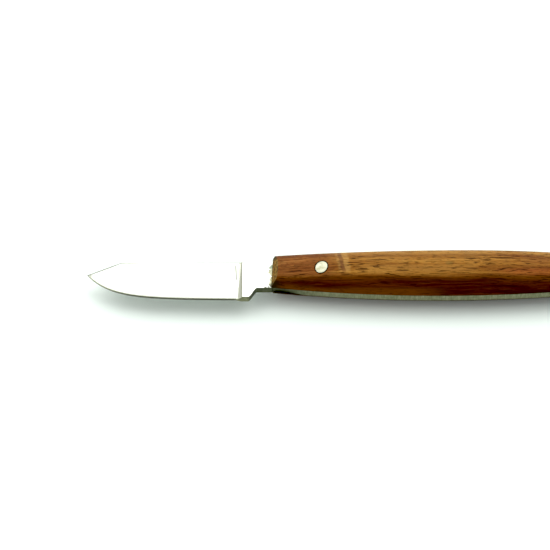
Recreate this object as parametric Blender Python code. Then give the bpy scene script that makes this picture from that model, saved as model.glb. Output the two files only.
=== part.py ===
"""Whittling knife, lying on its side: one flat steel piece that is blade and full tang, two
wooden handle scales bonded and pinned to it, two pins, and the resin of the bond.

Metres, +Z up. The tip points to -X, the cutting edge to -Y and the back of the blade to +Y.
The knife rests on the flat land of its lower scale at Z = 0."""

import math

import bmesh
import bpy

MM = 0.001

# Along the knife, from tip to butt.
TIP_X = -85.75
CLIP_X = -75.6  # where the clipped point meets the straight back
PLUNGE_X = -38.8  # where the grinding stops
HEEL_X = -36.9  # where the step from ricasso to neck begins
NECK_X = -34.4
FRONT_X = -29.8  # front end of both scales
CAP_X = 79.0  # where the butt starts to round
BUTT_X = 85.75
PIN_X = (-14.9, 70.8)

# Across the knife, from the handle's middle line, which lies AXIS_Y off the middle of the box.
AXIS_Y = 0.51
BACK_Y = 4.1
TIP_Y = 0.1
RICASSO_Y = -8.5
NECK_Y = -5.3
HEEL_STRAIGHT = 0.35  # how straight the step from ricasso to neck is, the rest is an eased S
BELLY_DEPTH, BELLY_LENGTH, BELLY_SLOPE = 8.5, 7.2, 0.009
NEAR_WIDE, NEAR_WIDE_X, NEAR_RADIUS = 8.15, 20.7, 447.0
FAR_WIDE, FAR_WIDE_X, FAR_RADIUS = 7.85, 31.0, 900.0
FAR_REAR_RADIUS = 400.0
NEAR_BEND, FAR_BEND = 34.0, 24.0  # how far towards the butt each side curves, before it runs straight

DIP, DIP_RUN = 0.75, 10.0  # the tang's near edge lies this far inside the scales at their front
FAR_STEP = 0.7  # length of the step from the neck out to the tang's far edge

# Through the knife.
PLATE = 2.6
BLADE_BACK = 2.05  # thickness of the blade's back just past the plunge
CLIP_BACK = 1.7
TIP_BACK = 0.22
BEVEL_HIGH, BEVEL_THICK, EDGE_THICK = 0.6, 0.34, 0.06
LEAST_WIDE, BEVEL_SHARE, EDGE_SHARE = 0.2, 0.3, 0.6  # limits of the section close to the tip
PLUNGE_RUN, PLUNGE_FLAT = 1.35, 0.8  # length of the plunge per mm of its depth, and how straight it is
PLUNGE_START = PLUNGE_X - PLUNGE_RUN * PLATE / 2
FILM, FILM_GAP, FILM_INSET = 0.10, 0.02, 0.05
CROWN, CROWN_X, CROWN_FALL, CROWN_RUN = 4.2, 22.0, 1.5, 54.0
BUTT_HIGH = 0.4  # share of the crown's height that is left at the very butt
SHOULDER, SHOULDER_BEND, SHOULDER_CRISP = 1.5, 0.8, 6.0  # flat top, then a bevel to the edge side
SHOULDER_FRONT = 2.0  # the bevel is steeper at the front, and eases along the stretch below
SHOULDER_FROM, SHOULDER_TO = -26.0, 0.0
FRONT_LIP, FRONT_LEAN = 0.25, 0.68  # the scales' front is upright, then leans back per mm of height
FRONT_SKEW = 0.056  # and stands a little askew across the knife
FAR_CORNER = (-29.5, 4.89)  # a point of the 45 degree cut across the far front corner of both scales
NEAR_CORNER = (-28.9, -5.3)  # and of the one across the near front corner of the lower scale
CUT_LOW, CUT_HIGH, CUT_SIDE = -5.0, 20.0, 20.0  # cutters reach beyond the knife, up, down and across
LAND_CUT = 0.14  # how much the lower crown is rubbed flat
SEAT = FILM + 2 * FILM_GAP
PLATE_LOW = CROWN - LAND_CUT + SEAT
PLATE_HIGH = PLATE_LOW + PLATE

PIN_RADIUS, PIN_CLEARANCE = 2.0, 0.05
PIN_SIDES = 40
BEAD_WIDE, BEAD_HIGH, BEAD_GAP = 1.15, 0.5, 0.03
BEAD_FROM, BEAD_TO, BEAD_STEPS = -4.9, 3.8, 24
BEAD_MEAN, BEAD_END = 0.62, 0.4  # its size as a share, on average and where it peters out
BEAD_WAVES = ((0.25, 1.1, 0.0), (0.13, 2.9, 1.0))  # share, pace and start of its two waves
BEAD_CHIN = (0.45, 0.5)  # its middle point, as shares of width and height

SECTION_STEPS = 22
CAP_STEPS = 9
DIP_STEPS, HANDLE_STEPS = 12, 30
POINT_LONG, POINT_STEPS, POINT_CROWD = 12.0, 14, 1.4  # sections crowd towards the tip
HEEL_SHARES = (0.1, 0.25, 0.5, 0.75, 0.9, 1.0)
PIN_RINGS = (0.35, 0.7, 1.0)  # rings of points on a pin's end, as shares of its radius


def clear_scene():
    for old in list(bpy.data.objects):
        bpy.data.objects.remove(old, do_unlink=True)


def material(name, colour, metallic, roughness):
    made = bpy.data.materials.new(name)
    made.use_nodes = True
    shader = made.node_tree.nodes["Principled BSDF"]
    shader.inputs["Base Color"].default_value = (*colour, 1.0)
    shader.inputs["Metallic"].default_value = metallic
    shader.inputs["Roughness"].default_value = roughness
    return made


def add_object(name, points, faces, made=None):
    """An object from points in millimetres about the handle's middle line."""
    mesh = bpy.data.meshes.new(name)
    mesh.from_pydata([(x * MM, (y + AXIS_Y) * MM, z * MM) for x, y, z in points], [], faces)
    work = bmesh.new()
    work.from_mesh(mesh)
    bmesh.ops.recalc_face_normals(work, faces=work.faces)
    work.to_mesh(mesh)
    work.free()
    if made:
        mesh.materials.append(made)
    added = bpy.data.objects.new(name, mesh)
    bpy.context.scene.collection.objects.link(added)
    return added


def loft(name, rings, made=None):
    """One closed body through rings that have the same number of points."""
    count = len(rings[0])
    points = [point for ring in rings for point in ring]
    faces = [tuple(range(count)), tuple(range(len(points) - count, len(points)))]
    for row in range(len(rings) - 1):
        for i in range(count):
            j = (i + 1) % count
            a, b = row * count, (row + 1) * count
            faces.append((a + i, a + j, b + j, b + i))
    return add_object(name, points, faces, made)


def steps(start, end, count):
    return [start + (end - start) * i / count for i in range(count)]


def ease(x, start, end):
    """0 before start, 1 after end, smooth between."""
    t = min(max((x - start) / (end - start), 0.0), 1.0)
    return t * t * (3 - 2 * t)


def cap(x):
    """The rounding of the butt, 1 before it begins."""
    t = max(x - CAP_X, 0.0) / (BUTT_X - CAP_X)
    return math.sqrt(max(1 - t * t, 0.0))


def bow(run, radius, bend):
    """Drop of a side line that curves for a length and then runs straight."""
    curved = min(run, bend)
    return curved * (run - curved / 2) / radius


def near_side(x):
    """Half width of the handle on the cutting-edge side."""
    run = x - NEAR_WIDE_X
    return (NEAR_WIDE - bow(abs(run), NEAR_RADIUS, NEAR_BEND if run > 0 else -run)) * cap(x)


def far_side(x):
    """Half width of the handle on the back side."""
    run = x - FAR_WIDE_X
    if run > 0:
        return (FAR_WIDE - bow(run, FAR_REAR_RADIUS, FAR_BEND)) * cap(x)
    return FAR_WIDE - bow(-run, FAR_RADIUS, -run)


def tang_near(x):
    """Half width of the tang on the cutting-edge side: a shallow hollow behind the neck."""
    run = min((x - FRONT_X) / DIP_RUN, 1.0)
    return near_side(x) - DIP * math.sin(math.pi * math.sqrt(run))


def tang_far(x):
    """Half width of the tang on the back side, which steps out from the neck under the scales."""
    return BACK_Y + (far_side(x) - BACK_Y) * ease(x, FRONT_X, FRONT_X + FAR_STEP)


def crown(x):
    """Height of a scale's crown above its seat."""
    high = CROWN - CROWN_FALL * ((x - CROWN_X) / CROWN_RUN) ** 2
    return high * (BUTT_HIGH + (1 - BUTT_HIGH) * cap(x))


def shouldered(x, share):
    """Height, as a share of the crown, of the flat-topped near half at this share of its width."""
    if share > 0.9999:
        return 0.0
    steep = SHOULDER_FRONT + (SHOULDER - SHOULDER_FRONT) * ease(x, SHOULDER_FROM, SHOULDER_TO)
    bevel = steep * (1 - share) ** SHOULDER_BEND
    return (1 + bevel**-SHOULDER_CRISP) ** (-1 / SHOULDER_CRISP)


def crown_at(x, y):
    """Height of a scale's surface above its seat at a point inside its outline."""
    share = min(abs(y) / (near_side(x) if y < 0 else far_side(x)), 1.0)
    if y < 0:
        return crown(x) * shouldered(x, share) / shouldered(x, 0.0)
    return crown(x) * math.sqrt(1 - share * share)


def front_x(y):
    """Foot of the scales' front end."""
    return FRONT_X + FRONT_SKEW * y


def handle_stations():
    """X of every section of the handle, close together at the front and the butt."""
    front = steps(FRONT_X, FRONT_X + DIP_RUN, DIP_STEPS)
    middle = steps(FRONT_X + DIP_RUN, CAP_X, HANDLE_STEPS)
    turn = math.radians(86) / CAP_STEPS
    return front + middle + [
        CAP_X + (BUTT_X - CAP_X) * math.sin(turn * i) for i in range(CAP_STEPS + 1)
    ]


def belly(x):
    """Y of the cutting edge."""
    run = x - TIP_X
    return -BELLY_DEPTH * (1 - math.exp(-run / BELLY_LENGTH)) - BELLY_SLOPE * run


def blade_section(x):
    """(back y, edge y, half thicknesses at back, bevel shoulder and edge) at one station."""
    if x < CLIP_X:
        t = (x - TIP_X) / (CLIP_X - TIP_X)
        back_y, back = BACK_Y * t + TIP_Y * (1 - t), TIP_BACK + (CLIP_BACK - TIP_BACK) * t
    else:
        t = (x - CLIP_X) / (PLUNGE_X - CLIP_X)
        back_y, back = BACK_Y, CLIP_BACK + (BLADE_BACK - CLIP_BACK) * t
    edge_y = min(belly(x), back_y - LEAST_WIDE)
    shoulder = min(BEVEL_THICK, back * EDGE_SHARE)
    return back_y, edge_y, back / 2, shoulder / 2, min(EDGE_THICK, shoulder * EDGE_SHARE) / 2


def plate_ring(x, back_y, edge_y, back, shoulder, edge):
    """Eight points round a section: back, bevel shoulder and edge, above and below the middle."""
    middle = PLATE_LOW + PLATE / 2
    bevel_y = edge_y + min(BEVEL_HIGH, (back_y - edge_y) * BEVEL_SHARE)
    half_y = (back_y + bevel_y) / 2
    half = (back + shoulder) / 2
    return [
        (x, back_y, middle + back),
        (x, half_y, middle + half),
        (x, bevel_y, middle + shoulder),
        (x, edge_y, middle + edge),
        (x, edge_y, middle - edge),
        (x, bevel_y, middle - shoulder),
        (x, half_y, middle - half),
        (x, back_y, middle - back),
    ]


def blade_rings():
    shares = [(i / POINT_STEPS) ** POINT_CROWD for i in range(POINT_STEPS)]
    stations = [TIP_X + POINT_LONG * share for share in shares]
    stations += steps(TIP_X + POINT_LONG, PLUNGE_START, POINT_STEPS) + [PLUNGE_START]
    return [plate_ring(x, *blade_section(x)) for x in stations]


def plunge_rise(x, ground):
    """Share of the way up to full thickness, for a point ground down to this half thickness."""
    start = PLUNGE_X - PLUNGE_RUN * (PLATE / 2 - ground)
    t = min(max((x - start) / (PLUNGE_X - start), 0.0), 1.0)
    return PLUNGE_FLAT * t + (1 - PLUNGE_FLAT) * (1 - math.sqrt(1 - t * t))


def plunge_rings():
    """The run-out of the grinding: a hollow that reaches further the deeper the grind is."""
    back_y, edge_y, *ground = blade_section(PLUNGE_START)
    rings = []
    for x in steps(PLUNGE_START, PLUNGE_X, 8)[1:] + [PLUNGE_X - 0.06, PLUNGE_X]:
        thick = [g + (PLATE / 2 - g) * plunge_rise(x, g) for g in ground]
        y = edge_y + (RICASSO_Y - edge_y) * plunge_rise(x, ground[1])
        rings.append(plate_ring(x, back_y, y, *thick))
    return rings


def tang_rings():
    """Ricasso, heel step, neck and the tang under the scales, all at full thickness."""
    full = [PLATE / 2] * 3
    rings = [plate_ring(HEEL_X, BACK_Y, RICASSO_Y, *full)]
    for t in HEEL_SHARES:
        rise = HEEL_STRAIGHT * t + (1 - HEEL_STRAIGHT) * ease(t, 0, 1)
        y = RICASSO_Y + (NECK_Y - RICASSO_Y) * rise
        rings.append(plate_ring(HEEL_X + (NECK_X - HEEL_X) * t, BACK_Y, y, *full))
    return rings + [plate_ring(x, tang_far(x), -tang_near(x), *full) for x in handle_stations()]


def pin_cutter(x):
    """Clearance hole for one pin, through everything, on the pin's own facets."""
    return as_cutter(cylinder("cut_pin_%+.0f" % x, x, PIN_RADIUS + PIN_CLEARANCE))


def as_cutter(made):
    made.hide_render = True
    made.display_type = "WIRE"
    return made


def cylinder(name, x, radius):
    turn = 2 * math.pi / PIN_SIDES
    around = [
        (x + radius * math.cos(turn * i), radius * math.sin(turn * i)) for i in range(PIN_SIDES)
    ]
    return loft(name, [[(px, py, z) for px, py in around] for z in (CUT_LOW, CUT_HIGH)])


def cut(target, cutter):
    tool = target.modifiers.new("cut " + cutter.name, "BOOLEAN")
    tool.operation = "DIFFERENCE"
    tool.solver = "EXACT"
    tool.object = cutter


def make_blade_and_tang(holes):
    steel = material("satin blade steel", (0.60, 0.60, 0.58), 1.0, 0.28)
    blade = loft("blade_and_tang", blade_rings() + plunge_rings() + tang_rings(), steel)
    for hole in holes:
        cut(blade, hole)


def scale_ring(x, seat, side):
    """A domed section: side is 1 for the upper scale and -1 for the lower one."""
    near, far = near_side(x), far_side(x)
    ring = []
    for i in range(SECTION_STEPS + 1):
        turn = math.pi * i / SECTION_STEPS
        y = -(near if turn < math.pi / 2 else far) * math.cos(turn)
        ring.append((x, y, seat + side * crown_at(x, y)))
    return ring


def front_cutter(name, seat, side):
    """A wedge in front of a scale, whose sloping face leaves the leaning front end."""
    low, high, ahead = -2.0, 8.0, -12.0
    profile = [
        (0.0, low),
        (0.0, FRONT_LIP),
        (FRONT_LEAN * (high - FRONT_LIP), high),
        (ahead, high),
        (ahead, low),
    ]
    rings = []
    for y in (-CUT_SIDE, CUT_SIDE):
        rings.append([(front_x(y) + x, y, seat + side * h) for x, h in profile])
    return as_cutter(loft("cut_front_" + name, rings))


def corner_cutter(name, x, y):
    """An upright prism that takes a front corner off what it cuts, on the side that y is on."""
    reach = 9.0
    out = math.copysign(reach, y)
    corners = [(x - reach, y - out), (x + reach, y + out), (x - reach, y + out)]
    rings = [[(px, py, z) for px, py in corners] for z in (CUT_LOW, CUT_HIGH)]
    return as_cutter(loft("cut_corner_" + name, rings))


def make_scale(name, seat, side, cutters, colour):
    wood = material("oiled rosewood " + name.split("_")[1], colour, 0.0, 0.4)
    stations = [front_x(-NEAR_WIDE)] + handle_stations()
    scale = loft(name, [scale_ring(x, seat, side) for x in stations], wood)
    for cutter in (*cutters, front_cutter(name, seat, side)):
        cut(scale, cutter)


def land_cutter():
    """A flat slab under Z = 0, which leaves the lower crown its flat resting land."""
    ends = (FRONT_X - CUT_SIDE, BUTT_X + CUT_SIDE)
    corners = [(x, y) for x, y in zip((*ends, *reversed(ends)), (-CUT_SIDE,) * 2 + (CUT_SIDE,) * 2)]
    return as_cutter(loft("cut_land", [[(x, y, z) for x, y in corners] for z in (CUT_LOW, 0.0)]))


def make_film(name, low, cutters):
    """The thin layer of resin between the tang and one scale."""
    resin = material("dark bonding resin " + name.split("_")[2], (0.06, 0.05, 0.035), 0.0, 0.5)
    rings = []
    for x in [front_x(BEAD_TO)] + handle_stations()[1:]:
        near, far = FILM_INSET - tang_near(x), tang_far(x) - FILM_INSET
        rings.append([(x, near, low), (x, far, low), (x, far, low + FILM), (x, near, low + FILM)])
    film = loft(name, rings, resin)
    for cutter in cutters:
        cut(film, cutter)


def make_pin(name, x):
    """A straight pin whose two ends are ground down to the surface of the scales."""
    alloy = material("nickel silver " + name.split("_")[1], (0.72, 0.68, 0.56), 1.0, 0.3)
    turn = 2 * math.pi / PIN_SIDES
    points, faces = [], []
    for seat, side in ((PLATE_HIGH + SEAT, 1), (PLATE_LOW - SEAT, -1)):
        points.append((x, 0.0, seat + side * crown_at(x, 0.0)))
        for share in PIN_RINGS:
            for i in range(PIN_SIDES):
                px = x + PIN_RADIUS * share * math.cos(turn * i)
                py = PIN_RADIUS * share * math.sin(turn * i)
                points.append((px, py, seat + side * crown_at(px, py)))
    end = len(points) // 2
    for first in (0, end):
        for i in range(PIN_SIDES):
            j = (i + 1) % PIN_SIDES
            faces.append((first, first + 1 + i, first + 1 + j))
            for ring in range(len(PIN_RINGS) - 1):
                a = first + 1 + ring * PIN_SIDES
                b = a + PIN_SIDES
                faces.append((a + i, b + i, b + j, a + j))
    rim = 1 + (len(PIN_RINGS) - 1) * PIN_SIDES
    for i in range(PIN_SIDES):
        j = (i + 1) % PIN_SIDES
        faces.append((rim + i, end + rim + i, end + rim + j, rim + j))
    add_object(name, points, faces, alloy)


def make_bead():
    """Resin squeezed out across the neck, in the corner in front of the upper scale."""
    resin = material("squeezed resin", (0.20, 0.19, 0.13), 0.0, 0.55)
    low = PLATE_HIGH + BEAD_GAP
    rings = []
    for i in range(BEAD_STEPS + 1):
        y = BEAD_FROM + (BEAD_TO - BEAD_FROM) * i / BEAD_STEPS
        back_x = front_x(y) - BEAD_GAP
        swell = BEAD_MEAN + sum(much * math.sin(pace * y + start) for much, pace, start in BEAD_WAVES)
        if i in (0, BEAD_STEPS):
            swell *= BEAD_END
        wide, high = BEAD_WIDE * swell, BEAD_HIGH * swell
        rings.append(
            [
                (back_x, y, low),
                (back_x, y, low + high),
                (back_x - BEAD_CHIN[0] * wide, y, low + BEAD_CHIN[1] * high),
                (back_x - wide, y, low),
            ]
        )
    loft("resin_bead_front", rings, resin)


def build():
    clear_scene()
    holes = [pin_cutter(x) for x in PIN_X]
    make_blade_and_tang(holes)
    far, near = corner_cutter("far", *FAR_CORNER), corner_cutter("near", *NEAR_CORNER)
    make_scale("scale_upper", PLATE_HIGH + SEAT, 1, [*holes, far], (0.26, 0.10, 0.03))
    lower_cutters = [*holes, far, near, land_cutter()]
    make_scale("scale_lower", PLATE_LOW - SEAT, -1, lower_cutters, (0.24, 0.09, 0.03))
    make_film("resin_film_upper", PLATE_HIGH + FILM_GAP, holes)
    make_film("resin_film_lower", PLATE_LOW - FILM_GAP - FILM, [*holes, near])
    for name, x in zip(("pin_front", "pin_rear"), PIN_X):
        make_pin(name, x)
    make_bead()


build()
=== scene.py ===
"""Looks of the whittling knife: ground steel, oiled rosewood, pale pins and squeezed resin."""

import math
import random

import bmesh
import bpy
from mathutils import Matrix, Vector


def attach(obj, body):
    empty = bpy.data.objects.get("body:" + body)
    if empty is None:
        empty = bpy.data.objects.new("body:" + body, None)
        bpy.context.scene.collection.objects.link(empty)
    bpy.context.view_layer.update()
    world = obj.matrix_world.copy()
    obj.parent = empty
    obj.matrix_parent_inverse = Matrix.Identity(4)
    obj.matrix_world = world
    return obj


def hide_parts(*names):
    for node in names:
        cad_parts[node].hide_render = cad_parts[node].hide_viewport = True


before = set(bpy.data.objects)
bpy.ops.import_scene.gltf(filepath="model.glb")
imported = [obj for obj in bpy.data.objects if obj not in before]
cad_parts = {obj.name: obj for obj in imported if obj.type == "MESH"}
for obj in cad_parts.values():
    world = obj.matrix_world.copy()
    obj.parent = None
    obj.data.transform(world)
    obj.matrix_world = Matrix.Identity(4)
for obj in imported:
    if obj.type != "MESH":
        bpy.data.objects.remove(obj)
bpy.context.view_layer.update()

MM = 0.001

# The knife's own sizes in millimetres, as in part.py, measured from the handle's middle line.
AXIS_Y = 0.51
TIP_X, CLIP_X, PLUNGE_X, HEEL_X, NECK_X = -85.75, -75.6, -38.8, -36.9, -34.4
FRONT_X, CAP_X, BUTT_X = -29.8, 79.0, 85.75
PIN_X = {"pin_front": -14.9, "pin_rear": 70.8}
BACK_Y, RICASSO_Y, NECK_Y = 4.1, -8.5, -5.3
BELLY_DEPTH, BELLY_LENGTH, BELLY_SLOPE = 8.5, 7.2, 0.009
NEAR_WIDE, NEAR_WIDE_X, NEAR_RADIUS, NEAR_BEND = 8.15, 20.7, 447.0, 34.0
FAR_WIDE, FAR_WIDE_X, FAR_RADIUS, FAR_REAR_RADIUS, FAR_BEND = 7.85, 31.0, 900.0, 400.0, 24.0
DIP, DIP_RUN, FAR_STEP = 0.75, 10.0, 0.7
PLATE, BLADE_BACK, CLIP_BACK, TIP_BACK = 2.6, 2.05, 1.7, 0.22
BEVEL_HIGH, BEVEL_THICK, EDGE_THICK = 0.6, 0.34, 0.05
PLUNGE_RUN, PLUNGE_FLAT = 1.35, 0.8
TIP_Y, LEAST_WIDE, BEVEL_SHARE = 0.1, 0.2, 0.6  # the point's own height and the thinnest sections
HEEL_STRAIGHT = 0.35  # how much of the heel step is straight rather than eased
CROWN, CROWN_X, CROWN_FALL, CROWN_RUN = 4.2, 22.0, 1.5, 54.0
BUTT_HIGH = 0.4
SHOULDER_FRONT, SHOULDER, SHOULDER_BEND, SHOULDER_CRISP = 2.0, 1.5, 0.8, 6.0
SHOULDER_FROM, SHOULDER_TO = -26.0, 0.0
FRONT_LIP, FRONT_LEAN, FRONT_SKEW = 0.25, 0.68, 0.056
FAR_CORNER, NEAR_CORNER = (-29.5, 4.89), (-28.9, -5.3)
BEAD_FROM, BEAD_TO = -4.9, 3.8
SEAT, LAND_CUT, FILM, FILM_GAP = 0.14, 0.14, 0.10, 0.02
PLATE_LOW = CROWN - LAND_CUT + SEAT
PLATE_HIGH = PLATE_LOW + PLATE
MIDDLE = PLATE_LOW + PLATE / 2

# What only the looks need.
PIN_LONG, PIN_SHORT, PIN_RING = 2.16, 1.72, 0.32  # hand-fitted pins, a little oval, in rings of gap dark with painted shade
PIN_SLANT = {"pin_front": 65.0, "pin_rear": 20.0}  # where their long way points
CHAMFER = 0.12  # broken edges of the plate
BACK_SLOPE = 2.2  # the blade's back is eased over this much more than its chamfer's height
HOLLOW, HOLLOW_WIDE = 0.05, 12.0  # how far the ground faces dish in, on a blade this wide
MOST_BEVEL, MOST_CHAMFER, MOST_SLOPE = 0.3, 0.5, 0.2  # their largest shares of a narrow section
BEVEL_BELLY, LAST_LOOP = 0.55, 0.96  # where the bevel's and the plate's inner edge loops lie
SECTION_POINTS = 10
FLAT_NORMAL, BACK_NORMAL = 0.75, 0.25  # normals that part the flat faces from the narrow edges
END_NORMAL, WALL_NORMAL = -0.6, 0.1  # and a scale's front end and hole walls from its dome
CUT_LOW, CUT_HIGH = -5.0, 20.0  # upright cutters pass right through the knife
HOLE_REACH = 2.5  # faces this close to a pin's middle can be walls of its hole
FILM_EDGE, FILM_WANDER = 0.05, 0.03  # how far the bond lines stay in, and how much that varies
FILM_WAVES = 1.7, 0.43  # turns per millimetre of the two waves in it
BEAD_MEAN, BEAD_ROUGH, BEAD_WIDE, BEAD_HIGH = 0.42, 0.06, 1.9, 0.5
BEAD_WAVES = ((0.22, 1.1, 0.0), (0.14, 2.9, 1.0), (0.10, 7.3, 0.0))  # (height, turn, start)
BEAD_DROOP = 1.4
CRUMB_SIZES = {
    "From X": -32.6,
    "From Y": -4.9,
    "Length": 2.6,
    "Spread": 0.28,
    "Size": 0.15,
    "Seed": 3.0,
}


# ---------------------------------------------------------------- arithmetic on node sockets


class Field:
    """One value of a node tree. Arithmetic on it adds Math nodes."""

    def __init__(self, tree, socket):
        self.tree, self.socket = tree, socket

    def math(self, operation, *values):
        node = self.tree.nodes.new("ShaderNodeMath")
        node.operation = operation
        for place, value in zip(node.inputs, values):
            if isinstance(value, Field):
                self.tree.links.new(value.socket, place)
            else:
                place.default_value = value
        return Field(self.tree, node.outputs[0])

    def __add__(self, other):
        return self.math("ADD", self, other)

    def __radd__(self, other):
        return self.math("ADD", other, self)

    def __sub__(self, other):
        return self.math("SUBTRACT", self, other)

    def __rsub__(self, other):
        return self.math("SUBTRACT", other, self)

    def __mul__(self, other):
        return self.math("MULTIPLY", self, other)

    def __rmul__(self, other):
        return self.math("MULTIPLY", other, self)

    def __truediv__(self, other):
        return self.math("DIVIDE", self, other)

    def __pow__(self, other):
        return self.math("POWER", self, other)


def lowest(a, b):
    return a.math("MINIMUM", a, b) if isinstance(a, Field) else min(a, b)


def highest(a, b):
    return a.math("MAXIMUM", a, b) if isinstance(a, Field) else max(a, b)


def root(a):
    return a.math("SQRT", a) if isinstance(a, Field) else math.sqrt(a)


def beyond(a, limit):
    """1 where a is more than limit, 0 elsewhere."""
    return a.math("GREATER_THAN", a, limit) if isinstance(a, Field) else float(a > limit)


def cosine(a):
    return a.math("COSINE", a)


def sine(a):
    return a.math("SINE", a)


def distance_from(a, middle):
    return a.math("ABSOLUTE", a - middle)


def mixed(a, b, share):
    return a + (b - a) * share


# ---------------------------------------------------------------- the handle's form


def butt_cap(x):
    """The rounding of the butt, 1 before it begins."""
    turn = highest(x - CAP_X, 0.0) / (BUTT_X - CAP_X)
    return root(highest(1.0 - turn * turn, 0.0))


def bow(run, radius, bend):
    """Drop of a side line that curves for a length and then runs straight."""
    curved = lowest(run, bend)
    return curved * (run - curved * 0.5) / radius


def near_side(x):
    """Half width of the handle on the cutting-edge side."""
    rear = highest(x - NEAR_WIDE_X, 0.0)
    front = highest(NEAR_WIDE_X - x, 0.0)
    drop = bow(rear, NEAR_RADIUS, NEAR_BEND) + front * front / (2 * NEAR_RADIUS)
    return (NEAR_WIDE - drop) * butt_cap(x)


def far_side(x):
    """Half width of the handle on the side of the blade's back."""
    rear = highest(x - FAR_WIDE_X, 0.0)
    front = highest(FAR_WIDE_X - x, 0.0)
    drop = bow(rear, FAR_REAR_RADIUS, FAR_BEND) + front * front / (2 * FAR_RADIUS)
    return (FAR_WIDE - drop) * butt_cap(x)


def crown(x):
    """Height of a scale's crown above its seat."""
    off = (x - CROWN_X) / CROWN_RUN
    return (CROWN - CROWN_FALL * off * off) * (BUTT_HIGH + (1 - BUTT_HIGH) * butt_cap(x))


def smooth_step(x, start, end):
    """0 before start, 1 after end, smooth between."""
    t = lowest(highest((x - start) / (end - start), 0.0), 1.0)
    return t * t * (t * -2.0 + 3.0)


def shouldered(x, inside):
    """The flat-topped near half: its height for this share of its width in from the edge."""
    steep = mixed(SHOULDER_FRONT, SHOULDER, smooth_step(x, SHOULDER_FROM, SHOULDER_TO))
    bevel = steep * highest(inside, 1e-4) ** SHOULDER_BEND
    return (bevel**-SHOULDER_CRISP + 1.0) ** (-1.0 / SHOULDER_CRISP)


def crown_at(x, y):
    """Height of a scale's surface above its seat."""
    far = beyond(y, 0.0)
    wide = mixed(near_side(x), far_side(x), far)
    share = y / wide
    oval = root(highest(share * share * -1.0 + 1.0, 0.0))
    flat = shouldered(x, share + 1.0) / shouldered(x, x * 0.0 + 1.0)
    return crown(x) * mixed(flat, oval, far)


def front_x(y):
    """Foot of the scales' front end."""
    return FRONT_X + FRONT_SKEW * y


# ---------------------------------------------------------------- meshes


def add_mesh(name, points, faces):
    """A closed mesh from points in millimetres about the handle's middle line, facing out."""
    mesh = bpy.data.meshes.new(name)
    mesh.from_pydata([(x * MM, (y + AXIS_Y) * MM, z * MM) for x, y, z in points], [], faces)
    work = bmesh.new()
    work.from_mesh(mesh)
    bmesh.ops.remove_doubles(work, verts=work.verts, dist=0.001 * MM)
    bmesh.ops.recalc_face_normals(work, faces=work.faces)
    work.to_mesh(mesh)
    work.free()
    piece = bpy.data.objects.new(name, mesh)
    bpy.context.scene.collection.objects.link(piece)
    return piece


def loft(name, rings):
    """One closed body through rings that have the same number of points."""
    count = len(rings[0])
    points = [point for ring in rings for point in ring]
    faces = [tuple(range(count)), tuple(range(len(points) - count, len(points)))]
    for row in range(len(rings) - 1):
        a, b = row * count, (row + 1) * count
        for i in range(count):
            j = (i + 1) % count
            faces.append((a + i, a + j, b + j, b + i))
    return add_mesh(name, points, faces)


def upright(name, outline, low=CUT_LOW, high=CUT_HIGH):
    """A cutter that stands on this outline."""
    return loft(name, [[(x, y, z) for x, y in outline] for z in (low, high)])


def bake(piece, angle=35.0):
    """Makes a piece a plain mesh, as its modifiers leave it, with crisp edges over the angle."""
    bpy.context.view_layer.update()
    mesh = bpy.data.meshes.new_from_object(
        piece.evaluated_get(bpy.context.evaluated_depsgraph_get())
    )
    piece.modifiers.clear()
    piece.data = mesh
    mesh.shade_smooth()
    mesh.set_sharp_from_angle(angle=math.radians(angle))


def dress(piece, *materials):
    """Gives a piece these materials, all its faces on the first."""
    piece.data.materials.clear()
    for made in materials:
        piece.data.materials.append(made)
    for face in piece.data.polygons:
        face.material_index = 0


def cut(piece, cutter):
    """Cuts one shape out of a piece. The cutter is taken away by clear_cutters."""
    tool = piece.modifiers.new("cut", "BOOLEAN")
    tool.operation = "DIFFERENCE"
    tool.solver = "EXACT"
    tool.object = cutter
    cutter.hide_render = True


def clear_cutters(cutters):
    for cutter in cutters:
        bpy.data.objects.remove(cutter, do_unlink=True)


def pin_drills():
    """Oval cutters through the whole knife, as wide as the pins and the gaps round them, which are
    dark with painted shade.
    """
    sides, drills = 96, []
    for name, x in PIN_X.items():
        slant = math.radians(PIN_SLANT[name])
        outline = []
        for i in range(sides):
            turn = 2 * math.pi * i / sides
            long_way = (PIN_LONG + PIN_RING) * math.cos(turn)
            short_way = (PIN_SHORT + PIN_RING) * math.sin(turn)
            outline.append((x + long_way * math.cos(slant) - short_way * math.sin(slant),
                            long_way * math.sin(slant) + short_way * math.cos(slant)))
        drills.append(upright("drill", outline))
    return drills


def steps(start, end, count):
    """Even steps that leave out the end."""
    return [start + (end - start) * i / count for i in range(count)]


# ---------------------------------------------------------------- blade and tang


def belly(x):
    """The cutting edge's y, from the belly's curve to its nearly straight run."""
    run = x - TIP_X
    return -BELLY_DEPTH * (1 - math.exp(-run / BELLY_LENGTH)) - BELLY_SLOPE * run


def ground_section(x):
    """(back y, edge y, half thicknesses at back, bevel shoulder and edge) of the ground blade."""
    if x < CLIP_X:
        t = (x - TIP_X) / (CLIP_X - TIP_X)
        back_y, back = BACK_Y * t + TIP_Y * (1 - t), TIP_BACK + (CLIP_BACK - TIP_BACK) * t
    else:
        t = min((x - CLIP_X) / (PLUNGE_X - CLIP_X), 1.0)
        back_y, back = BACK_Y, CLIP_BACK + (BLADE_BACK - CLIP_BACK) * t
    edge_y = min(belly(x), back_y - LEAST_WIDE)
    shoulder = min(BEVEL_THICK, back * BEVEL_SHARE)
    return back_y, edge_y, back / 2, shoulder / 2, min(EDGE_THICK, shoulder * BEVEL_SHARE) / 2


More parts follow.
